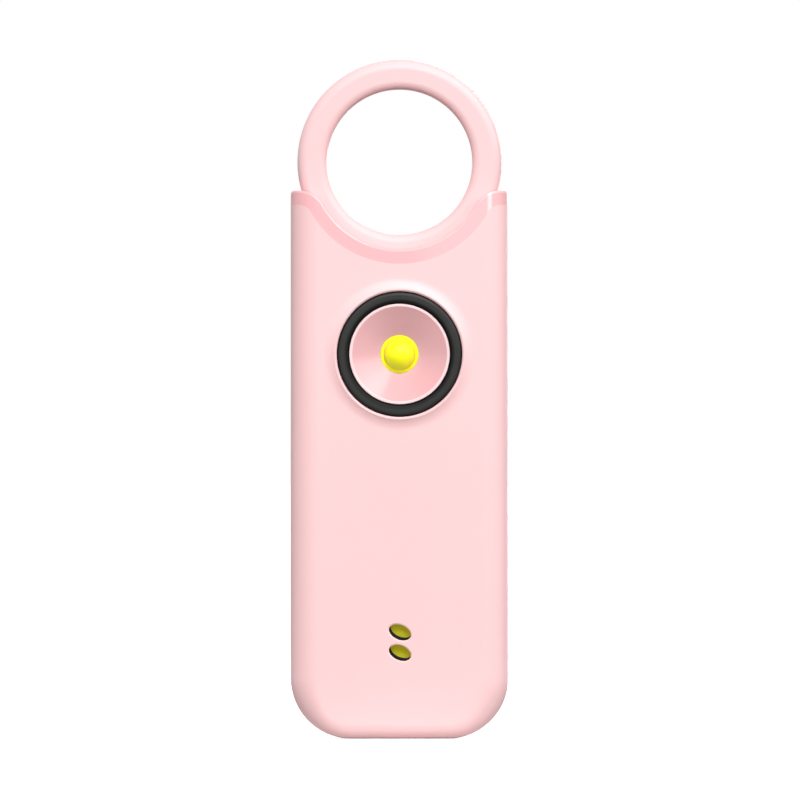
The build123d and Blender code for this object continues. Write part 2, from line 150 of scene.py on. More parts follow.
def arc(cx, cy, r, a0, a1, n):
    """Points of an arc, angles in degrees, ends included."""
    return [(cx + r * math.cos(math.radians(a0 + (a1 - a0) * i / n)), cy + r * math.sin(math.radians(a0 + (a1 - a0) * i / n)))
            for i in range(n + 1)]


def smooth(t):
    t = max(0.0, min(1.0, t))
    return t * t * (3 - 2 * t)


def finish_mesh(o, angle=28.0, exact=None, tol=0.006):
    """Clean, smooth with sharp edges by angle, true normals where the form is known, and to metres."""
    me = o.data
    bm = bmesh.new()
    bm.from_mesh(me)
    bmesh.ops.remove_doubles(bm, verts=bm.verts, dist=3e-4)
    bmesh.ops.dissolve_degenerate(bm, dist=1e-4, edges=bm.edges)
    bm.to_mesh(me)
    bm.free()
    for p in me.polygons:
        p.use_smooth = True
    me.set_sharp_from_angle(angle=math.radians(angle))
    w = o.modifiers.new("face_weights", "WEIGHTED_NORMAL")
    w.keep_sharp, w.weight, w.mode = True, 100, "FACE_AREA"
    dg = bpy.context.evaluated_depsgraph_get()
    new = bpy.data.meshes.new_from_object(o.evaluated_get(dg))
    o.modifiers.clear()
    o.data = new
    bpy.data.meshes.remove(me)
    me = new
    normals = [Vector(c.vector) for c in me.corner_normals]
    if exact:
        found = [exact(*v.co) for v in me.vertices]
        for p in me.polygons:
            e, n = exact(*p.center)
            if p.normal.dot(Vector(n)) > 0.985 and all(found[v][0] < tol for v in p.vertices):
                for li in p.loop_indices:
                    normals[li] = Vector(found[me.loops[li].vertex_index][1])
    me.transform(Matrix.Scale(MM, 4))
    me.normals_split_custom_set(normals)
    return o


def place(o, body, slot_name, mat, *replaced):
    o.data.materials.clear()
    o.data.materials.append(mat)
    if replaced:
        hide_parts(*replaced)
    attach(o, body)
    return o


# --------------------------------------------------------------------------- the case's outer form
def rounding(side, t=0.0):
    """Edge rounding of the front (-1) or rear (+1) half; t runs from 0 on the side to 1 on the bottom."""
    r = R_FRONT if side < 0 else R_REAR
    return r + (R_BOTTOM - r) * smooth((t - 0.04) / 0.88)


def perimeter(side, z_top, n_arc=36):
    """Points down the right side, round the bottom and up the left side, with the inward normal and the edge rounding."""
    c, w = CORNER_R, HALF_W
    pts = [((w, z_top), (-1.0, 0.0), rounding(side)), ((w, c + 14), (-1.0, 0.0), rounding(side))]
    for i in range(n_arc + 1):
        a = math.radians(-90 * i / n_arc)
        r = rounding(side, i / n_arc)
        pts.append(((w - c + c * math.cos(a), c + c * math.sin(a)), (-math.cos(a), -math.sin(a)), r))
    left = [((-x, z), (-nx, nz), r) for (x, z), (nx, nz), r in reversed(pts)]
    return pts + left


def half_body(name, side, z_top=92.0, n_round=18, lip=0.1):
    """Front (side -1) or rear (side +1) half of the outer form, as a closed solid that ends at the parting plane."""
    face_y = FRONT_Y if side < 0 else REAR_Y
    rings = []
    for (x, z), (nx, nz), r in perimeter(side, z_top):
        col = []
        for k in range(n_round + 1):
            th = math.radians(90 - 90 * k / n_round)
            ins = r * (1 - math.cos(th))
            col.append((x + nx * ins, face_y - side * r * (1 - math.sin(th)), z + nz * ins))
        col.append((x, side * (lip + 0.02), z))
        col.append((x + nx * lip * 0.8, 0.0, z + nz * lip * 0.8))
        rings.append(col)
    m = len(rings[0])
    verts = [p for col in rings for p in col]
    faces = []
    for i in range(len(rings) - 1):
        a, b = i * m, (i + 1) * m
        faces += [(a + k, a + k + 1, b + k + 1, b + k) for k in range(m - 1)]
    last = (len(rings) - 1) * m
    faces.append(tuple(i * m for i in range(len(rings))))
    faces.append(tuple(i * m + m - 1 for i in reversed(range(len(rings)))))
    faces.append(tuple(list(range(0, m)) + list(range(last + m - 1, last - 1, -1))))
    return make(name, verts, faces)


def outer_normal(x, y, z):
    """Distance of a point from the outer form's rounding or flat, and the form's true normal there."""
    ax, s = abs(x), (1 if x >= 0 else -1)
    side = -1 if y < 0 else 1
    cx = HALF_W - CORNER_R
    if z >= CORNER_R:
        d, out, r = HALF_W - ax, (s, 0.0), rounding(side)
    elif ax <= cx:
        d, out, r = z, (0.0, -1.0), R_BOTTOM
    else:
        ux, uz = ax - cx, z - CORNER_R
        rad = math.hypot(ux, uz)
        d, out = CORNER_R - rad, (s * ux / rad, uz / rad)
        r = rounding(side, math.degrees(math.atan2(-uz, ux)) / 90)
    face_y = FRONT_Y if side < 0 else REAR_Y
    depth = abs(face_y) - abs(y)                  # how far behind the flat face
    if d >= r:
        return abs(depth), (0.0, float(side), 0.0)
    if depth >= r:
        return abs(d), (out[0], 0.0, out[1])
    a, b = r - d, r - depth
    h = math.hypot(a, b)
    return abs(h - r), (out[0] * a / h, side * b / h, out[1] * a / h)


def top_line(d, n_scoop=120, n_horn=20, x_end=20.0):
    """The case's top outline moved down by d, from left to right, as (x, z)."""
    r1, r0 = HORN_R - d, SCOOP_R + d
    ph = math.degrees(PHI)
    pts = [(-x_end, HORN_Z - d)]
    pts += arc(-XC, ZC, r1, 90, ph, n_horn)
    pts += arc(0, RING_Z, r0, 180 + ph, 360 - ph, n_scoop)[1:-1]
    pts += arc(XC, ZC, r1, 180 - ph, 90, n_horn)
    pts.append((x_end, HORN_Z - d))
    return pts


def above(d):
    """Everything above the top outline moved down by d."""
    return prism("above", top_line(d, x_end=40.0) + [(40, 140), (-40, 140)], -30, 30)


def inset_loop(d, z_top=95.0, n=24):
    c, w, x = CORNER_R - d, HALF_W - d, HALF_W - CORNER_R
    return [(w, z_top)] + arc(x, CORNER_R, c, 0, -90, n) + arc(-x, CORNER_R, c, -90, -180, n) + [(-w, z_top)]


def case_hollow():
    """What the two shells leave free inside, under the round roof."""
    o = prism("hollow", inset_loop(WALL), FRONT_Y + WALL, REAR_Y - WALL)
    return boolean(o, rod(0, RING_Z, SADDLE_R, -20, 20, 160))


def rounded_rect(x0, x1, z0, z1, r, n=12):
    return (arc(x1 - r, z1 - r, r, 0, 90, n) + arc(x0 + r, z1 - r, r, 90, 180, n)
            + arc(x0 + r, z0 + r, r, 180, 270, n) + arc(x1 - r, z0 + r, r, 270, 360, n))


def flared(name, loop_at, y_face, y_in, r, out, n=6):
    """Cutting tool with a mouth rounded by r at the face; loop_at(grow) gives its outline, out is the outward sign."""
    loops = [[(x, y_face + out * 1.0, z) for x, z in loop_at(r)], [(x, y_face - out * 0.003, z) for x, z in loop_at(r)]]
    for k in range(1, n + 1):
        th = math.radians(90 * k / n)
        loops.append([(x, y_face - out * (0.003 + r * (1 - math.cos(th))), z) for x, z in loop_at(r * (1 - math.sin(th)))])
    loops.append([(x, y_in, z) for x, z in loop_at(0.0)])
    return loft(name, loops)


def chamfered(name, loop_at, y_face, y_in, out):
    """Cutting tool whose mouth has a small chamfer with rounded ends."""
    prof = rim_profile(32, 0.05, 0.17, 0.06, 2, 4)
    loops = [[(x, y_face + out * 1.0, z) for x, z in loop_at(prof[0][0])]]
    loops += [[(x, y_face - out * (0.003 + e), z) for x, z in loop_at(d)] for d, e in prof]
    loops.append([(x, y_in, z) for x, z in loop_at(0.0)])
    return loft(name, loops)


def flared_hole(x, z, rad, y_face, y_in, r, out, n=64):
    return flared("hole", lambda g: circle(x, z, rad + g, n), y_face, y_in, r, out, 4)


SLOTS = [(0.07, 16.25), (0.07, 13.12)]
SLOT_A, SLOT_B, SLOT_TILT = 1.77, 1.13, math.radians(-23)
CASE_SCREWS = [(-11.6, 5.4), (11.6, 5.4), (-12.3, 71.8), (12.3, 71.8)]
BOARD_SCREWS = [(-9.2, 66.6), (9.2, 66.6)]
BOARD_POSTS = [(-9.4, 50.4), (9.4, 50.4)]
DOOR_SCREWS = [(0.0, 31.2), (0.0, 49.6)]
DOOR_W, DOOR_Z0, DOOR_Z1, DOOR_T = 11.5, 29.4, 51.4, 1.0


def ellipse(x, z, a, b, tilt, n=80):
    out = []
    for i in range(n):
        t = 2 * math.pi * i / n
        u, v = a * math.cos(t), b * math.sin(t)
        out.append((x + u * math.cos(tilt) - v * math.sin(tilt), z + u * math.sin(tilt) + v * math.cos(tilt)))
    return out


def ring_pocket():
    """The round pocket that the ring sits in."""
    return lathe("pocket", [(0, -POCKET_Y), (POCKET_R, -POCKET_Y), (POCKET_R, POCKET_Y), (0, POCKET_Y)], RING_Z, n=256)


def rim_profile(tilt=32.0, r1=0.10, flat=0.24, r2=0.14, n1=3, n2=6):
    """Rim section from the face to the straight wall behind it, as (distance from the edge, depth behind the face)."""
    pts, d, e = [], 0.0, 0.0
    for k in range(n1 + 1):
        t = math.radians(tilt * k / n1)
        pts.append((r1 * math.sin(t), r1 * (1 - math.cos(t))))
    d, e, t0 = pts[-1][0], pts[-1][1], math.radians(tilt)
    d, e = d + flat * math.cos(t0), e + flat * math.sin(t0)
    for k in range(n2 + 1):
        t = math.radians(tilt + (90 - tilt) * k / n2)
        pts.append((d + r2 * (math.sin(t) - math.sin(t0)), e + r2 * (math.cos(t0) - math.cos(t))))
    end = pts[-1][0]
    return [(end - a, b) for a, b in pts]


# --------------------------------------------------------------------------- front shell
def light_seat():
    """Raised lip, seat and hole of the light as one turned ring; the slope falls from a thin crest into the face."""
    ro, rc, crest, seat_r = 11.75, 9.98, -7.84, 9.62
    h = FRONT_Y - crest
    rho = ((ro - rc) ** 2 + h * h) / (2 * h)
    top = math.asin((ro - rc) / rho)
    prof = [(7.85, -5.72), (7.85, -6.88), (7.97, -7.0), (seat_r, -7.0)]
    prof += [(seat_r + d, crest + e) for d, e in reversed(rim_profile(32, 0.06, 0.22, 0.08))]
    e2 = 0.07
    prof += [(rc - e2, crest)]
    prof += [(rc - e2 + e2 * math.sin(math.radians(a)), crest + e2 * (1 - math.cos(math.radians(a)))) for a in (20, 40)]
    n = 18
    prof += [(ro - rho * math.sin(top * (0.985 - k / n * 0.985)), FRONT_Y - 0.003 - rho * (1 - math.cos(top * (0.985 - k / n * 0.985)))) for k in range(n)]
    prof += [(ro, FRONT_Y - 0.003), (ro, -6.5), (11.9, -5.9), (11.9, -5.72)]
    return lathe("light_seat", prof, LIGHT_Z, n=256)


def build_front():
    o = half_body("front_cover", -1)
    boolean(o, case_hollow())
    # rim and thinned wall in front of the sounder, then the posts
    boolean(o, boolean(rod(0, SND_Z, 14.2, -5.8, -4.9), rod(0, SND_Z, 13.0, -7, -3)), "UNION")
    boolean(o, rod(0, SND_Z, 13.0, -6.3, -4.0))
    for x, z in CASE_SCREWS:
        boolean(o, rod(x, z, 2.2, -5.8, -0.01, 48), "UNION")
        boolean(o, rod(x, z, 0.82, -4.8, 1.0, 32))
    for x, z in BOARD_SCREWS:
        boolean(o, rod(x, z, 1.8, -5.8, -1.6, 48), "UNION")
        boolean(o, rod(x, z, 0.62, -5.2, 1.0, 32))
    for x, z in BOARD_POSTS:
        boolean(o, rod(x, z, 1.5, -5.8, -1.6, 48), "UNION")
    boolean(o, ring_pocket())
    boolean(o, above(BAND))
    boolean(o, rod(0, LIGHT_Z, 11.5, -9, -5, 256))
    boolean(o, light_seat(), "UNION")
    for x, z in SLOTS:
        boolean(o, chamfered("slot", lambda g: ellipse(x, z, SLOT_A + g, SLOT_B + g, SLOT_TILT), FRONT_Y, -5.0, -1))
    return finish_mesh(o, exact=outer_normal)


# --------------------------------------------------------------------------- rear shell
def build_rear():
    o = half_body("rear_cover", 1)
    boolean(o, case_hollow())
    for x, z in CASE_SCREWS:
        boolean(o, rod(x, z, 2.5, 0.01, 6.5, 64), "UNION")
    for x, z in DOOR_SCREWS:
        boolean(o, rod(x, z, 1.9, 4.2, 6.5, 64), "UNION")
    for a in (30, 150, 270):
        boolean(o, rod(11.9 * math.cos(math.radians(a)), SND_Z + 11.9 * math.sin(math.radians(a)), 1.2, -3.68, 6.5, 48), "UNION")
    for s in (-1, 1):
        x0, x1 = sorted((s * 4.2, s * 5.4))
        boolean(o, block(x0, x1, 0.4, 6.5, 61.4, 71.4), "UNION")
    boolean(o, block(-4.4, 4.4, 3.95, 6.5, 62.6, 70.4), "UNION")
    boolean(o, ring_pocket())
    boolean(o, block(-4.2, 4.2, 0.4, 3.4, 61, 76))
    boolean(o, above(BAND))
    # seat of the battery door, way in for the cells
    boolean(o, flared("seat", lambda g: rounded_rect(-DOOR_W - 0.15 - g, DOOR_W + 0.15 + g, DOOR_Z0 - 0.15 - g, DOOR_Z1 + 0.15 + g, 2.15 + g),
                      REAR_Y, REAR_Y - DOOR_T, 0.12, 1, 4))
    boolean(o, prism("cells", rounded_rect(-10.7, 10.7, 33.3, 47.5, 0.5, 5), 5.5, 9))
    for x, z in DOOR_SCREWS:
        boolean(o, rod(x, z, 0.85, 4.0, 9, 40))
    for x, z in CASE_SCREWS:
        boolean(o, flared_hole(x, z, 1.9, REAR_Y, 5.4, 0.2, 1))
        boolean(o, rod(x, z, 0.95, -0.5, 7, 40))
    return finish_mesh(o, exact=outer_normal)


# --------------------------------------------------------------------------- soft collar
def surface_y(x, side):
    """Depth of the case's front (-1) or rear (+1) surface at x, above the corners."""
    d, r = HALF_W - abs(x), rounding(side)
    if d >= r:
        return FRONT_Y if side < 0 else REAR_Y
    a = r - max(0.0, d)
    drop_ = r - math.sqrt(max(0.0, r * r - a * a))
    return FRONT_Y + drop_ if side < 0 else REAR_Y - drop_


def build_collar(corner=0.55):
    ph = math.degrees(PHI)
    st = []                                        # stations: how to find the point at offset d

    def at_arc(cx, cz, r, sign, a):
        ca, sa = math.cos(math.radians(a)), math.sin(math.radians(a))
        return lambda d: (cx + (r + sign * d) * ca, cz + (r + sign * d) * sa)

    def at_flat(x):
        u = abs(x) - (HALF_W - corner)
        fall = 0.0 if u <= 0 else corner - math.sqrt(max(0.0, corner * corner - u * u))
        return lambda d: (x, HORN_Z - fall - d * (BAND - fall) / BAND)

    flat_x = []
    n_flat = 22
    a0 = math.acos(max(-1.0, 1 - (HALF_W - XC) / R_FRONT))
    for k in range(n_flat + 1):
        flat_x.append(HALF_W - R_FRONT * (1 - math.cos(a0 * (1 - k / n_flat))))
    flat_x += [HALF_W - corner * (1 - math.sin(math.radians(a))) for a in range(9, 90, 9)]
    flat_x = sorted(set(round(v, 6) for v in flat_x if v > XC + 1e-3))
    for x in reversed(flat_x):
        st.append(at_flat(-x))
    n_horn, n_scoop = 40, 170
    for k in range(n_horn + 1):
        st.append(at_arc(-XC, ZC, HORN_R, -1, 90 - (90 - ph) * k / n_horn))
    for k in range(1, n_scoop):
        st.append(at_arc(0, RING_Z, SCOOP_R, 1, 180 + ph + (180 - 2 * ph) * k / n_scoop))
    for k in range(n_horn + 1):
        st.append(at_arc(XC, ZC, HORN_R, -1, 180 - ph - (90 - ph) * k / n_horn))
    for x in flat_x:
        st.append(at_flat(x))

    ds = [BAND, 1.6, 1.2, 0.8, 0.5]
    prof = rim_profile(35.0, 0.09, 0.26, 0.13)
    rim = prof[-1][1]
    rows = [("f", d, 0.0) for d in ds]
    rows += [("f", d, e) for d, e in prof]
    rows += [("m", 0.0, t) for t in (0.2, 0.4, 0.6, 0.8)]
    rows += [("r", d, e) for d, e in reversed(prof)]
    rows += [("r", d, 0.0) for d in reversed(ds)]
    rows += [("b", BAND, t) for t in (0.75, 0.5, 0.25)]

    verts = []
    for p in st:
        for kind, d, e in rows:
            x, z = p(d)
            yf, yr = surface_y(x, -1), surface_y(x, 1)
            if kind == "f":
                y = yf + e
            elif kind == "r":
                y = yr - e
            else:
                y = yf + rim + (yr - yf - 2 * rim) * e if kind == "m" else yf + (yr - yf) * e
            verts.append((x, y, z))
    m = len(rows)
    faces = []
    for i in range(len(st) - 1):
        a, b = i * m, (i + 1) * m
        faces += [(a + k, a + (k + 1) % m, b + (k + 1) % m, b + k) for k in range(m)]
    faces += [tuple(range(m)), tuple(range((len(st) - 1) * m, len(st) * m))]
    o = make("collar", verts, faces)
    boolean(o, ring_pocket())
    # upright seam in the right horn: one long flank that faces the light, one short return
    x0, x1, deep = 13.60, 14.06, 0.16
    prof = [(x0, -8.2), (x0, FRONT_Y + 0.02), (x1, FRONT_Y + deep + 0.10), (x1, -8.2)]
    verts = [(x, y, z) for z in (80.75, 86.0) for x, y in prof]
    faces = [(0, 1, 2, 3), (7, 6, 5, 4)] + [(k, (k + 1) % 4, 4 + (k + 1) % 4, 4 + k) for k in range(4)]
    boolean(o, make("seam", verts, faces))
    return finish_mesh(o, exact=outer_normal)


# --------------------------------------------------------------------------- pull ring
def build_ring():
    ro, ri, hd, fo, fi = RING_RO, RING_RI, RING_D, 1.5, 1.27
    prof = []
    for cr, cy, r, a0, a1, n in ((ro - fo, hd - fo, fo, 0, 90, 14), (ri + fi, hd - fi, fi, 90, 180, 12),
                                 (ri + fi, -hd + fi, fi, 180, 270, 12), (ro - fo, -hd + fo, fo, 270, 360, 14)):
        prof += arc(cr, cy, r, a0, a1, n)
    o = lathe("ring", prof, RING_Z, n=288)
    # flat tongue with rounded edges
    x0, x1, y0, y1, z0, z1, c = -4.0, 4.0, 0.6, 3.2, 62.0, 74.1, 1.0
    loops = []
    e = 0.25
    for k, y in ((1, y0), (0, y0 + e), (0, y1 - e), (1, y1)):
        g = e * k
        loops.append([(x, y, z) for x, z in ((x0 + c, z0 + g), (x1 - c, z0 + g), (x1 - g, z0 + c), (x1 - g, z1), (x0 + g, z1), (x0 + g, z0 + c))])
    boolean(o, loft("tongue", loops), "UNION")
    boolean(o, rod(0, 66.6, 2.02, 1.9, 5, 64))
    return finish_mesh(o)


# --------------------------------------------------------------------------- light
def build_seal():
    ro, ri, base, shoulder, crest = 9.56, 7.71, -7.0, -7.32, -7.96
    prof = [(ri, base), (ro, base), (ro, shoulder)]
    w, n = (ro - ri) / 2, 26
    mid = (ro + ri) / 2
    for k in range(1, n):
        t = math.pi * k / n
        c, s = math.cos(t), math.sin(t)
        prof.append((mid + w * math.copysign(abs(c) ** 0.60, c), shoulder + (crest - shoulder) * abs(s) ** 0.60))
    prof.append((ri, shoulder))
    return finish_mesh(lathe("light_seal", prof, LIGHT_Z, n=288), 40)


def build_reflector():
    cup, cone, led = 7.68, 7.24, 2.93
    e = 0.1
    prof = [(cup, -5.7), (cup, -7.9 + e)]
    prof += [(cup - e + e * math.cos(math.radians(a)), -7.9 + e - e * math.sin(math.radians(a))) for a in (30, 60, 90)]
    prof += [(cone + 0.12, -7.9)]
    prof += [(cone + 0.12 - 0.12 * math.sin(math.radians(a)), -7.9 + 0.12 * (1 - math.cos(math.radians(a)))) for a in (15, 30, 45)]
    n = 16
    for k in range(n + 1):                          # the cone
        t = k / n
        r = cone + 0.02 + (led - cone - 0.02) * t
        prof.append((r, -7.84 + 3.04 * t + 0.02 * math.sin(math.pi * t)))
    prof += [(led, -3.5), (4.9, -3.5), (4.9, -1.6), (5.6, -1.6), (5.6, -3.9), (cup, -5.0), (9.3, -5.0), (9.3, -5.7)]
    return finish_mesh(lathe("light_reflector", prof, LIGHT_Z, n=288))


def build_led():
    r, dome, y0 = 2.92, 2.41, -4.86
    prof = [(0, -3.4), (r, -3.4), (r, y0 + 0.12)]
    prof += [(r - 0.12 + 0.12 * math.cos(math.radians(a)), y0 + 0.12 - 0.12 * math.sin(math.radians(a))) for a in (30, 60, 90)]
    prof += [(dome + 0.05, y0)]
    prof += [(dome + 0.05 - 0.05 * math.sin(math.radians(a)), y0 - 0.05 * (1 - math.cos(math.radians(a)))) for a in (30, 60, 88)]
    for k in range(1, 25):
        t = math.radians(2 + 88 * k / 24)
        prof.append((dome * math.cos(t) if k < 24 else 0.0, y0 - dome * math.sin(t)))
    return finish_mesh(lathe("light_led", prof, LIGHT_Z, n=160))


# --------------------------------------------------------------------------- battery door
def build_door():
    y_out, y_in, e = REAR_Y - 0.025, REAR_Y - DOOR_T + 0.025, 0.3
    loops = []

    def loop_at(g):
        return rounded_rect(-DOOR_W + g, DOOR_W - g, DOOR_Z0 + g, DOOR_Z1 - g, 2.0 - g)

    for g, y in ((0.1, y_in), (0.0, y_in + 0.1)):
        loops.append([(x, y, z) for x, z in loop_at(g)])
    for k in range(0, 8):
        t = math.radians(90 * k / 7)
        loops.append([(x, y_out - e + e * math.sin(t), z) for x, z in loop_at(e * (1 - math.cos(t)))])
    o = loft("battery_lid", loops)
    boolean(o, prism("plug", rounded_rect(-10.2, 10.2, 33.8, 47.0, 0.5, 5), 6.35, 7.2), "UNION")
    for x, z in DOOR_SCREWS:
        boolean(o, lathe("sink", [(0, 4), (0.9, 4), (0.9, 7.0), (1.72, 7.82), (1.80, 7.9), (1.80, 9), (0, 9)], z, x, 72))
    # finger grip: three grooves with rounded edges
    for k in range(3):
        z = 36.2 + 1.7 * k
        tool = flared("grip", lambda g: rounded_rect(-3.6 - g, 3.6 + g, z - 0.34 - g, z + 0.34 + g, 0.33 + g, 8), y_out, y_out - 0.42, 0.2, 1, 5)
        boolean(o, tool)
    return finish_mesh(o)


# --------------------------------------------------------------------------- screws
def screw(x, z, head, y_start, y_tip, core, crest, pitch, turn, arm, half, y_top, deep, n=48):
    """Screw along Y: head is a (r, y) profile from its rim to the centre of its top; a cut thread runs from y_start to y_tip."""
    o = lathe("head", [(0, y_start - 0.35), (core - 0.05, y_start - 0.35)] + head, z, x, n)
    # threaded shank, its radius following a helix
    per, verts, faces = 8, [], []
    length = y_start - y_tip
    rows = int(per * length / pitch)
    for k in range(rows + 1):
        y = y_start - 0.1 - (length - 0.1) * k / rows
        taper = min(1.0, (y - y_tip) / 0.6 + 0.25)
        for i in range(n):
            a = 2 * math.pi * i / n
            f = ((y_start - y) / pitch - i / n) % 1.0
            r = core + (crest - core) * max(0.0, 1 - abs(f - 0.5) / 0.34) * smooth((y_start - 0.1 - y) / (0.8 * pitch))
            verts.append((x + r * taper * math.cos(a), y, z + r * taper * math.sin(a)))
    for k in range(rows):
        faces += [(k * n + i, k * n + (i + 1) % n, (k + 1) * n + (i + 1) % n, (k + 1) * n + i) for i in range(n)]
    faces += [tuple(range(n)), tuple(range(rows * n, (rows + 1) * n))]
    boolean(o, make("shank", verts, faces), "UNION")
    # tapered cross recess
    loops, ca, sa = [], math.cos(turn), math.sin(turn)
    for y, a, h in ((y_top + 0.3, arm, half), (y_top + 0.03, arm, half), (y_top - deep * 0.6, arm * 0.72, half * 0.8), (y_top - deep, half * 1.1, half * 0.5)):
        pts = [(a, -h), (a, h), (h, h), (h, a), (-h, a), (-h, h), (-a, h), (-a, -h), (-h, -h), (-h, -a), (h, -a), (h, -h)]
        loops.append([(x + u * ca - v * sa, y, z + u * sa + v * ca) for u, v in pts])
    boolean(o, loft("recess", loops))
    return o


def joined(name, parts):
    """Parts as one mesh, without the flat two-sided flaps that a cut can leave."""
    bm = bmesh.new()
    for o in parts:
        bm.from_mesh(o.data)
        drop(o)
    bmesh.ops.triangulate(bm, faces=bm.faces[:])
    same = {}
    for f in bm.faces:
        same.setdefault(tuple(sorted(tuple(round(c, 4) for c in v.co) for v in f.verts)), []).append(f)
    bmesh.ops.delete(bm, geom=[f for g in same.values() if len(g) > 1 for f in g], context="FACES")
    me = bpy.data.meshes.new(name)
    bm.to_mesh(me)
    bm.free()
    o = bpy.data.objects.new(name, me)
    bpy.context.scene.collection.objects.link(o)
    return o


def build_case_screws():
    """Pan heads at the bottom of their counterbores."""
    parts = []
    for k, (x, z) in enumerate(CASE_SCREWS):
        head = [(1.62, 5.4), (1.70, 5.48), (1.70, 5.95)]
        head += [(1.70 * math.cos(math.radians(a)), 5.95 + 0.75 * math.sin(math.radians(a))) for a in range(8, 90, 9)] + [(0, 6.70)]
        parts.append(screw(x, z, head, 5.4, -4.6, 0.62, 0.80, 0.6, (0.35, 1.0, 0.1, 0.7)[k], 1.0, 0.2, 6.70, 0.75, 40))
    return finish_mesh(joined("case_screw_set", parts), 32)


def build_lid_screws():
    """Countersunk heads with a slightly raised face."""
    parts = []
    for k, (x, z) in enumerate(DOOR_SCREWS):
        head = [(0.80, 7.05), (1.52, 7.70), (1.58, 7.74), (1.58, 7.77)]
        head += [(1.50 * math.cos(math.radians(a)), 7.77 + 0.10 * math.sin(math.radians(a))) for a in range(0, 90, 9)] + [(0, 7.87)]
        parts.append(screw(x, z, head, 7.05, 4.6, 0.62, 0.80, 0.5, (0.25, 0.95)[k], 0.98, 0.19, 7.87, 0.7))
    return finish_mesh(joined("lid_screw_set", parts), 32)


# --------------------------------------------------------------------------- materials
def material(name, base, rough, vary=0.03, vary_scale=60.0, bump=0.02, bump_scale=4000.0, metallic=0.0, rough_vary=0.05,
             coat=0.0, coat_rough=0.2, specular=0.5, subsurface=0.0, sheen=0.0, second=None, emission=0.0, ior=1.5):
    m = bpy.data.materials.new(name)
    m.use_nodes = True
    nt = m.node_tree
    nt.nodes.clear()
    out = nt.nodes.new("ShaderNodeOutputMaterial")
    b = nt.nodes.new("ShaderNodeBsdfPrincipled")
    nt.links.new(b.outputs[0], out.inputs[0])
    tc = nt.nodes.new("ShaderNodeTexCoord")
    n1 = nt.nodes.new("ShaderNodeTexNoise")
    n1.inputs["Scale"].default_value = vary_scale
    n1.inputs["Detail"].default_value = 5.0
    nt.links.new(tc.outputs["Object"], n1.inputs["Vector"])
    ramp = nt.nodes.new("ShaderNodeValToRGB")
    lo = [max(0.0, c * (1 - vary)) for c in base]
    hi = list(second) if second else [min(1.0, c * (1 + vary)) for c in base]
    ramp.color_ramp.elements[0].position = 0.3
    ramp.color_ramp.elements[0].color = (*lo, 1)
    ramp.color_ramp.elements[1].position = 0.7
    ramp.color_ramp.elements[1].color = (*hi, 1)
    nt.links.new(n1.outputs["Fac"], ramp.inputs[0])
    nt.links.new(ramp.outputs[0], b.inputs["Base Color"])
    n2 = nt.nodes.new("ShaderNodeTexNoise")
    n2.inputs["Scale"].default_value = bump_scale
    n2.inputs["Detail"].default_value = 3.0
    nt.links.new(tc.outputs["Object"], n2.inputs["Vector"])
    mr = nt.nodes.new("ShaderNodeMapRange")
    mr.inputs["To Min"].default_value = max(0.02, rough - rough_vary)
    mr.inputs["To Max"].default_value = min(1.0, rough + rough_vary)
    nt.links.new(n2.outputs["Fac"], mr.inputs["Value"])
    nt.links.new(mr.outputs[0], b.inputs["Roughness"])
    bp = nt.nodes.new("ShaderNodeBump")
    bp.inputs["Strength"].default_value = bump
    bp.inputs["Distance"].default_value = 0.0001
    nt.links.new(n2.outputs["Fac"], bp.inputs["Height"])
    nt.links.new(bp.outputs[0], b.inputs["Normal"])
    b.inputs["Metallic"].default_value = metallic
    b.inputs["Coat Weight"].default_value = coat
    b.inputs["Coat Roughness"].default_value = coat_rough
    b.inputs["Specular IOR Level"].default_value = specular
    b.inputs["IOR"].default_value = ior
    b.inputs["Sheen Weight"].default_value = sheen
    if subsurface:
        b.inputs["Subsurface Weight"].default_value = subsurface
        b.inputs["Subsurface Radius"].default_value = (0.0012, 0.0006, 0.0005)
        b.inputs["Subsurface Scale"].default_value = 1.0
    if emission:
        b.inputs["Emission Color"].default_value = (*base, 1)
        b.inputs["Emission Strength"].default_value = emission
    return m


def s2l(r, g, b):
    f = lambda c: ((c / 255 + 0.055) / 1.055) ** 2.4 if c / 255 > 0.04045 else c / 255 / 12.92
    return (f(r), f(g), f(b))


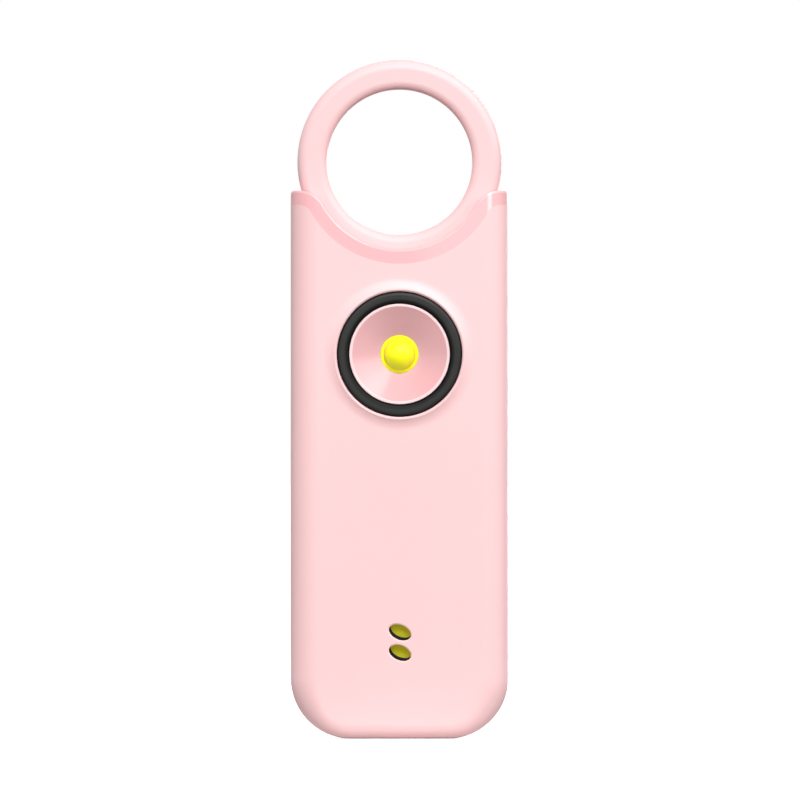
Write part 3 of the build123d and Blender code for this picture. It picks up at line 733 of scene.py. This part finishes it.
PINK = (0.97, 0.637, 0.641)
MAT = {
    "case_plastic": material("case_plastic", PINK, 0.46, vary=0.012, vary_scale=35, bump=0.03, bump_scale=9000, rough_vary=0.04),
    "ring_plastic": material("ring_plastic", (0.915, 0.612, 0.617), 0.52, vary=0.012, vary_scale=35, bump=0.03, bump_scale=9000, rough_vary=0.04),
    "collar_soft": None,
    "seal_black": None,
    "reflector_pink": None,
    "led_yellow": None,
    # the brass glows (emission 0.46): painted light that evens out the shade on the disc behind the slots
    "brass": material("brass", (0.36, 0.345, 0.006), 0.45, vary=0.16, vary_scale=5200, bump=0.25, bump_scale=9000, metallic=0.15, specular=0.3, emission=0.46),
    "gasket_black": material("gasket_black", s2l(13, 13, 17), 0.6, vary=0.2, vary_scale=600, bump=0.08, bump_scale=9000, specular=0.2),
    "piezo_ceramic": material("piezo_ceramic", s2l(205, 203, 190), 0.5, vary=0.05, vary_scale=500, bump=0.05, bump_scale=7000),
    "clamp_white": material("clamp_white", s2l(228, 224, 218), 0.5, vary=0.03, vary_scale=200, bump=0.04, bump_scale=6000),
    "pcb_green": material("pcb_green", s2l(20, 92, 52), 0.35, vary=0.15, vary_scale=500, bump=0.08, bump_scale=1500),
    "ferrite": material("ferrite", s2l(52, 50, 50), 0.6, vary=0.15, vary_scale=900, bump=0.2, bump_scale=5000),
    "copper_wire": material("copper_wire", s2l(184, 98, 50), 0.3, vary=0.2, vary_scale=1500, bump=0.3, bump_scale=3000, metallic=0.9),
    "chip_black": material("chip_black", s2l(30, 30, 32), 0.55, vary=0.1, vary_scale=900, bump=0.1, bump_scale=8000),
    "tinned": material("tinned", s2l(196, 197, 198), 0.3, vary=0.06, vary_scale=900, bump=0.06, bump_scale=5000, metallic=1.0),
    "capacitor_tan": material("capacitor_tan", s2l(168, 134, 96), 0.5, vary=0.08, vary_scale=900, bump=0.06, bump_scale=5000),
    "switch_black": material("switch_black", s2l(38, 38, 42), 0.5, vary=0.1, vary_scale=400, bump=0.08, bump_scale=7000),
    "pin_white": material("pin_white", s2l(235, 233, 226), 0.4, vary=0.03, vary_scale=400, bump=0.04, bump_scale=7000),
    "steel": material("steel", s2l(206, 207, 210), 0.34, vary=0.08, vary_scale=800, bump=0.06, bump_scale=5000, metallic=1.0),
    "nickel": material("nickel", s2l(205, 205, 205), 0.22, vary=0.05, vary_scale=500, bump=0.04, bump_scale=4000, metallic=1.0),
    "magnet": material("magnet", s2l(190, 192, 196), 0.2, vary=0.05, vary_scale=500, bump=0.03, bump_scale=4000, metallic=1.0),
    "wire_red": material("wire_red", s2l(176, 34, 34), 0.4, vary=0.05, vary_scale=600, bump=0.04, bump_scale=5000),
    "wire_black": material("wire_black", s2l(34, 34, 36), 0.4, vary=0.1, vary_scale=600, bump=0.04, bump_scale=5000),
}



def find(nt, kind):
    return next(n for n in nt.nodes if n.type == kind)


def ramp_along(nt, axis, lo, hi, stops):
    """Colour that changes along one object axis; stops are (millimetres, colour)."""
    sep = nt.nodes.new("ShaderNodeSeparateXYZ")
    nt.links.new(find(nt, "TEX_COORD").outputs["Object"], sep.inputs[0])
    where = nt.nodes.new("ShaderNodeMapRange")
    where.inputs["From Min"].default_value, where.inputs["From Max"].default_value = lo * MM, hi * MM
    nt.links.new(sep.outputs[axis], where.inputs["Value"])
    ramp = nt.nodes.new("ShaderNodeValToRGB")
    e = ramp.color_ramp.elements
    for k, (at, col) in enumerate(stops):
        pos = (at - lo) / (hi - lo)
        el = e[k] if k < 2 else e.new(pos)
        el.position, el.color = pos, (*col, 1)
    nt.links.new(where.outputs[0], ramp.inputs[0])
    return ramp.outputs[0]


def collar_material():
    """Soft-touch collar: saturated, with painted light on its front: paler towards one side of the scoop, and a
    near-white painted highlight in the seam.
    """
    m = material("collar_soft", (0.97, 0.485, 0.512), 0.28, vary=0.02, vary_scale=60, bump=0.04, bump_scale=12000, rough_vary=0.04)
    nt = m.node_tree
    b = find(nt, "BSDF_PRINCIPLED")
    deep, mid, painted_seam_highlight, right = (0.97, 0.515, 0.535), (0.974, 0.572, 0.588), (0.985, 0.79, 0.81), (0.97, 0.54, 0.555)
    # painted light along X on the front: paler over the right part of the scoop, a near-white painted highlight on the
    # seam, a touch lighter on the right horn
    along = ramp_along(nt, "X", -16, 16, [(1.6, deep), (5.4, mid), (13.42, mid), (13.57, painted_seam_highlight), (14.07, painted_seam_highlight), (14.17, right)])
    # the painted light stays on the front face; further back the collar is the plain deep pink
    front = ramp_along(nt, "Y", -8, -4, [(-6.6, (1, 1, 1)), (-5.2, (0, 0, 0))])
    zone = nt.nodes.new("ShaderNodeMix")
    zone.data_type = "RGBA"
    nt.links.new(front, zone.inputs["Factor"])
    zone.inputs[6].default_value = (*deep, 1)
    nt.links.new(along, zone.inputs[7])
    hsv = nt.nodes.new("ShaderNodeHueSaturation")
    grain = nt.nodes.new("ShaderNodeMapRange")
    grain.inputs["To Min"].default_value, grain.inputs["To Max"].default_value = 0.985, 1.015
    nt.links.new(find(nt, "TEX_NOISE").outputs["Fac"], grain.inputs["Value"])
    nt.links.new(grain.outputs[0], hsv.inputs["Value"])
    nt.links.new(zone.outputs[2], hsv.inputs["Color"])
    nt.links.new(hsv.outputs[0], b.inputs["Base Color"])
    return m


def ramp_around(nt, lo, hi, stops):
    """Colour that changes with the distance from the light's axis; stops are (millimetres, colour)."""
    off = nt.nodes.new("ShaderNodeVectorMath")
    off.operation = "SUBTRACT"
    off.inputs[1].default_value = (0, 0, LIGHT_Z * MM)
    flat = nt.nodes.new("ShaderNodeVectorMath")
    flat.operation = "MULTIPLY"
    flat.inputs[1].default_value = (1, 0, 1)
    far = nt.nodes.new("ShaderNodeVectorMath")
    far.operation = "LENGTH"
    nt.links.new(find(nt, "TEX_COORD").outputs["Object"], off.inputs[0])
    nt.links.new(off.outputs[0], flat.inputs[0])
    nt.links.new(flat.outputs[0], far.inputs[0])
    where = nt.nodes.new("ShaderNodeMapRange")
    where.inputs["From Min"].default_value, where.inputs["From Max"].default_value = lo * MM, hi * MM
    nt.links.new(far.outputs["Value"], where.inputs["Value"])
    ramp = nt.nodes.new("ShaderNodeValToRGB")
    e = ramp.color_ramp.elements
    for k, (at, col) in enumerate(stops):
        pos = (at - lo) / (hi - lo)
        el = e[k] if k < 2 else e.new(pos)
        el.position, el.color = pos, (*col, 1)
    nt.links.new(where.outputs[0], ramp.inputs[0])
    return ramp.outputs[0]


def times(nt, one, two):
    mul = nt.nodes.new("ShaderNodeMix")
    mul.data_type, mul.blend_type = "RGBA", "MULTIPLY"
    mul.inputs["Factor"].default_value = 1.0
    nt.links.new(one, mul.inputs[6])
    nt.links.new(two, mul.inputs[7])
    return mul.outputs[2]


def seal_material():
    """Matt rubber with painted shade: darker, and less glossy, where its sides go down into the gaps."""
    m = material("seal_black", s2l(42, 42, 41), 0.5, vary=0.12, vary_scale=300, bump=0.06, bump_scale=9000, rough_vary=0.08, specular=0.3)
    nt = m.node_tree
    b = find(nt, "BSDF_PRINCIPLED")
    base = b.inputs["Base Color"].links[0].from_socket
    g = lambda v: (v, v, v)
    # painted shade: the rubber is darkened towards both edges, where the sides fall into the gaps
    deep = ramp_around(nt, 7.6, 9.7, [(7.71, g(0.2)), (8.0, g(0.32)), (8.28, g(0.62)), (8.55, g(1.0)), (9.2, g(1.0)), (9.4, g(0.5)), (9.56, g(0.16))])
    nt.links.new(times(nt, base, deep), b.inputs["Base Color"])
    # painted shade: the specular is turned down towards the edges too
    sheen = nt.nodes.new("ShaderNodeMapRange")
    sheen.inputs["To Max"].default_value = 0.3
    nt.links.new(deep, sheen.inputs["Value"])
    nt.links.new(sheen.outputs[0], b.inputs["Specular IOR Level"])
    return m


def reflector_material():
    """Satin pink cone with painted light: lighter at the top and right round the lens, darker towards the bottom,
    inside a rim painted paler as a highlight.
    """
    m = material("reflector_pink", (0.965, 0.60, 0.585), 0.235, vary=0.015, vary_scale=80, bump=0.01, bump_scale=7000, rough_vary=0.03, specular=0.40)
    nt = m.node_tree
    b = find(nt, "BSDF_PRINCIPLED")
    base = b.inputs["Base Color"].links[0].from_socket
    # painted light: lighter right round the lens, a touch bluer further out
    lens_painted_light = ramp_around(nt, 2.8, 7.4, [(3.0, (1.0, 1.0, 0.97)), (3.5, (0.98, 0.95, 0.95)), (4.2, (0.969, 0.915, 0.945)), (7.2, (0.969, 0.903, 0.945))])
    z = LIGHT_Z
    # painted light: the cone is lighter at the top and darker and pinker towards the bottom
    painted_light_by_height = ramp_along(nt, "Z", z - 8, z + 8, [(z - 5, (0.893, 0.826, 0.826)), (z, (0.87, 0.865, 0.87)), (z + 2.5, (0.93, 0.93, 0.93)), (z + 5, (1.0, 1.0, 1.0))])
    cone = times(nt, times(nt, base, lens_painted_light), painted_light_by_height)
    # painted highlight: the rim is painted paler than the cone
    rim = ramp_around(nt, 7.0, 7.5, [(7.20, (0, 0, 0)), (7.27, (1, 1, 1))])
    mix = nt.nodes.new("ShaderNodeMix")
    mix.data_type = "RGBA"
    nt.links.new(rim, mix.inputs["Factor"])
    nt.links.new(cone, mix.inputs[6])
    mix.inputs[7].default_value = (0.97, 0.72, 0.72, 1)
    nt.links.new(mix.outputs[2], b.inputs["Base Color"])
    return m


def led_material():
    """Yellow lens: clear bright flange, and a dome with painted shade, olive on its lower side."""
    m = material("led_yellow", (0.84, 0.84, 0.010), 0.42, vary=0.02, vary_scale=400, bump=0.01, bump_scale=5000, specular=0.3, emission=0.24)
    nt = m.node_tree
    b = find(nt, "BSDF_PRINCIPLED")
    base = b.inputs["Base Color"].links[0].from_socket
    tc = find(nt, "TEX_COORD")
    # painted shade: the dome's lower side gets a darker olive, in its colour and in its glow alike
    turn = nt.nodes.new("ShaderNodeVectorMath")
    turn.operation = "DOT_PRODUCT"
    turn.inputs[1].default_value = (0.40, 0.0, 0.917)
    nt.links.new(tc.outputs["Object"], turn.inputs[0])
    painted_shade_low = nt.nodes.new("ShaderNodeMapRange")
    c = 0.917 * LIGHT_Z
    for key_, v_ in (("From Min", (c - 0.7) * MM), ("From Max", (c - 2.5) * MM), ("To Min", 0.0), ("To Max", 1.0)):
        painted_shade_low.inputs[key_].default_value = v_
    nt.links.new(turn.outputs["Value"], painted_shade_low.inputs["Value"])
    sep = nt.nodes.new("ShaderNodeSeparateXYZ")
    nt.links.new(tc.outputs["Object"], sep.inputs[0])
    dome = nt.nodes.new("ShaderNodeMapRange")
    for key_, v_ in (("From Min", -4.91 * MM), ("From Max", -4.96 * MM), ("To Min", 0.0), ("To Max", 1.0)):
        dome.inputs[key_].default_value = v_
    nt.links.new(sep.outputs["Y"], dome.inputs["Value"])
    painted_shade_mask = nt.nodes.new("ShaderNodeMath")
    painted_shade_mask.operation = "MULTIPLY"
    nt.links.new(painted_shade_low.outputs[0], painted_shade_mask.inputs[0])
    nt.links.new(dome.outputs[0], painted_shade_mask.inputs[1])
    mix = nt.nodes.new("ShaderNodeMix")
    mix.data_type = "RGBA"
    nt.links.new(painted_shade_mask.outputs[0], mix.inputs["Factor"])
    nt.links.new(base, mix.inputs[6])
    # the olive colour of the painted shade
    mix.inputs[7].default_value = (0.52, 0.69, 0.014, 1)
    nt.links.new(mix.outputs[2], b.inputs["Base Color"])
    nt.links.new(mix.outputs[2], b.inputs["Emission Color"])
    return m


MAT["collar_soft"] = collar_material()
MAT["led_yellow"] = led_material()
MAT["reflector_pink"] = reflector_material()
MAT["seal_black"] = seal_material()

SLOT_OF = {s["node"]: s["material_slot"] for s in frame["record"]["subparts"]}
for name, o in NODES.items():
    o.data.materials.clear()
    o.data.materials.append(MAT["gasket_black" if name == "siren_gasket" else SLOT_OF[name]])


# --------------------------------------------------------------------------- pieces that stand for CAD nodes
place(build_front(), "case", "case_plastic", MAT["case_plastic"], "front_shell")
place(build_rear(), "case", "case_plastic", MAT["case_plastic"], "rear_shell")
place(build_collar(), "case", "collar_soft", MAT["collar_soft"], "top_collar")
place(build_ring(), "pull_top", "ring_plastic", MAT["ring_plastic"], "pull_ring")
place(build_seal(), "case", "seal_black", MAT["seal_black"], "strobe_seal")
place(build_reflector(), "case", "reflector_pink", MAT["reflector_pink"], "strobe_reflector")
lamp = place(build_led(), "case", "led_yellow", MAT["led_yellow"], "strobe_led")
lamp.visible_diffuse = lamp.visible_glossy = False
place(build_door(), "battery_lid", "case_plastic", MAT["case_plastic"], "battery_door")
place(build_case_screws(), "case", "steel", MAT["steel"], "case_screws")
place(build_lid_screws(), "battery_lid", "steel", MAT["steel"], "battery_door_screws")


# --------------------------------------------------------------------------- camera, light and floor
cam_d = bpy.data.cameras.new("camera")
cam = bpy.data.objects.new("camera", cam_d)
bpy.context.scene.collection.objects.link(cam)
DIST = 4.0
cam_d.sensor_width = 36.0
cam_d.lens = 36.0 * (DIST + FRONT_Y * MM) / 0.12232
cam.location = (0.00007, -DIST, 0.05178)
cam.rotation_euler = (math.radians(90), 0, 0)
cam_d.clip_start, cam_d.clip_end = 0.1, 30.0
bpy.context.scene.camera = cam


MID = Vector((0, 0, 0.052))


def area(name, toward, dist, size, power, diffuse=True, glossy=True):
    """Soft round lamp seen from the object in the direction toward."""
    d = bpy.data.lights.new(name, "AREA")
    d.shape, d.size, d.energy = "DISK", size, power
    o = bpy.data.objects.new(name, d)
    o.location = MID + Vector(toward).normalized() * dist
    o.rotation_euler = (-Vector(toward)).to_track_quat("-Z", "Y").to_euler()
    o.visible_diffuse, o.visible_glossy = diffuse, glossy
    bpy.context.scene.collection.objects.link(o)
    return o


area("key", (0.09, -0.80, 0.58), 0.90, 0.38, 6.0)
area("glint", (0.572, -0.309, 0.760), 1.2, 0.60, 5.4, diffuse=False)
area("low_glint", (0.845, -0.309, 0.392), 1.0, 0.50, 2.4, diffuse=False)
area("side", (0.80, -0.42, 0.43), 1.2, 0.60, 1.45, glossy=False)
area("rear_light", (0.25, 0.85, 0.14), 1.2, 0.70, 8.5)

world = bpy.data.worlds.new("studio")
bpy.context.scene.world = world
world.use_nodes = True
wn = world.node_tree
wn.nodes.clear()
wo = wn.nodes.new("ShaderNodeOutputWorld")
mixw = wn.nodes.new("ShaderNodeMixShader")
lp = wn.nodes.new("ShaderNodeLightPath")
bg_light = wn.nodes.new("ShaderNodeBackground")
w_tc = wn.nodes.new("ShaderNodeTexCoord")
w_sep = wn.nodes.new("ShaderNodeSeparateXYZ")
w_map = wn.nodes.new("ShaderNodeMapRange")
w_map.inputs["From Min"].default_value = -1.0
w_ramp = wn.nodes.new("ShaderNodeValToRGB")          # a little warmer from the right
w_ramp.color_ramp.elements[0].color = (1.10, 1.07, 1.075, 1)
w_ramp.color_ramp.elements[1].color = (1.04, 0.97, 0.98, 1)
wn.links.new(w_tc.outputs["Generated"], w_sep.inputs[0])
wn.links.new(w_sep.outputs["X"], w_map.inputs["Value"])
wn.links.new(w_map.outputs[0], w_ramp.inputs[0])
wn.links.new(w_ramp.outputs[0], bg_light.inputs["Color"])
w_up = wn.nodes.new("ShaderNodeMapRange")              # and dimmer overhead
w_up.inputs["To Min"].default_value, w_up.inputs["To Max"].default_value = 0.88, 0.47
wn.links.new(w_sep.outputs["Z"], w_up.inputs["Value"])
wn.links.new(w_up.outputs[0], bg_light.inputs["Strength"])
bg_seen = wn.nodes.new("ShaderNodeBackground")
bg_seen.inputs["Color"].default_value = (1, 1, 1, 1)
bg_seen.inputs["Strength"].default_value = 1.0
wn.links.new(lp.outputs["Is Camera Ray"], mixw.inputs[0])
wn.links.new(bg_light.outputs[0], mixw.inputs[1])
wn.links.new(bg_seen.outputs[0], mixw.inputs[2])
wn.links.new(mixw.outputs[0], wo.inputs[0])

fv, ff = [(0.0, 0.0, -0.05)], []
rings_at = [20, 50, 100, 200, 400, 800, 1600, 3200, 6400, 12000]
for r in rings_at:
    fv += [(r * math.cos(2 * math.pi * i / 96), r * math.sin(2 * math.pi * i / 96), -0.05) for i in range(96)]
ff += [(0, 1 + i, 1 + (i + 1) % 96) for i in range(96)]
for k in range(len(rings_at) - 1):
    a, b = 1 + k * 96, 1 + (k + 1) * 96
    ff += [(a + i, b + i, b + (i + 1) % 96, a + (i + 1) % 96) for i in range(96)]
floor = make("floor", fv, ff)
floor.data.transform(Matrix.Scale(MM, 4))
fm = bpy.data.materials.new("floor_white")
fm.use_nodes = True
fn = fm.node_tree
fn.nodes.clear()
f_out = fn.nodes.new("ShaderNodeOutputMaterial")
f_tc = fn.nodes.new("ShaderNodeTexCoord")
f_noise = fn.nodes.new("ShaderNodeTexNoise")
f_noise.inputs["Scale"].default_value = 40.0
f_ramp = fn.nodes.new("ShaderNodeValToRGB")
f_ramp.color_ramp.elements[0].color = (0.84, 0.84, 0.84, 1)
f_ramp.color_ramp.elements[1].color = (0.88, 0.88, 0.88, 1)
f_seen = fn.nodes.new("ShaderNodeBsdfDiffuse")
f_glow = fn.nodes.new("ShaderNodeEmission")
f_glow.inputs["Strength"].default_value = 0.6
f_add = fn.nodes.new("ShaderNodeAddShader")
f_dim = fn.nodes.new("ShaderNodeBsdfDiffuse")
f_len = fn.nodes.new("ShaderNodeVectorMath")
f_len.operation = "LENGTH"
f_near = fn.nodes.new("ShaderNodeMapRange")
f_near.inputs["From Max"].default_value = 0.4
# painted pool of light on the floor, seen only by light bouncing to the object: brightest near it
f_fall = fn.nodes.new("ShaderNodeValToRGB")           # darker with the distance from the object
f_fall.color_ramp.interpolation = "EASE"
for k_, (at_, v_) in enumerate(((0.006, 0.64), (0.019, 0.20), (0.10, 0.20), (0.24, 0.09))):
    el_ = f_fall.color_ramp.elements[k_] if k_ < 2 else f_fall.color_ramp.elements.new(at_ / 0.4)
    el_.position, el_.color = at_ / 0.4, (v_, v_, v_, 1)
f_flat = fn.nodes.new("ShaderNodeVectorMath")
f_flat.operation = "MULTIPLY"
f_flat.inputs[1].default_value = (0.55, 1.0, 0.0)
fn.links.new(f_tc.outputs["Object"], f_flat.inputs[0])
fn.links.new(f_flat.outputs[0], f_len.inputs[0])
fn.links.new(f_len.outputs["Value"], f_near.inputs["Value"])
fn.links.new(f_near.outputs[0], f_fall.inputs[0])
fn.links.new(f_fall.outputs[0], f_dim.inputs["Color"])
f_fill = fn.nodes.new("ShaderNodeEmission")
f_fill.inputs["Color"].default_value = (1.0, 0.93, 0.95, 1)
f_fill.inputs["Strength"].default_value = 0.025
f_low = fn.nodes.new("ShaderNodeAddShader")
fn.links.new(f_dim.outputs[0], f_low.inputs[0])
fn.links.new(f_fill.outputs[0], f_low.inputs[1])
f_lp = fn.nodes.new("ShaderNodeLightPath")
f_mix = fn.nodes.new("ShaderNodeMixShader")
fn.links.new(f_tc.outputs["Object"], f_noise.inputs["Vector"])
fn.links.new(f_noise.outputs["Fac"], f_ramp.inputs[0])
fn.links.new(f_ramp.outputs[0], f_seen.inputs["Color"])
fn.links.new(f_seen.outputs[0], f_add.inputs[0])
fn.links.new(f_glow.outputs[0], f_add.inputs[1])
fn.links.new(f_lp.outputs["Is Camera Ray"], f_mix.inputs[0])
fn.links.new(f_low.outputs[0], f_mix.inputs[1])
fn.links.new(f_add.outputs[0], f_mix.inputs[2])
fn.links.new(f_mix.outputs[0], f_out.inputs[0])
floor.data.materials.append(fm)

bpy.context.scene.view_settings.view_transform = "Standard"
bpy.context.scene.view_settings.look = "None"
bpy.context.scene.view_settings.exposure = 0.0
bpy.context.scene.view_settings.gamma = 1.0
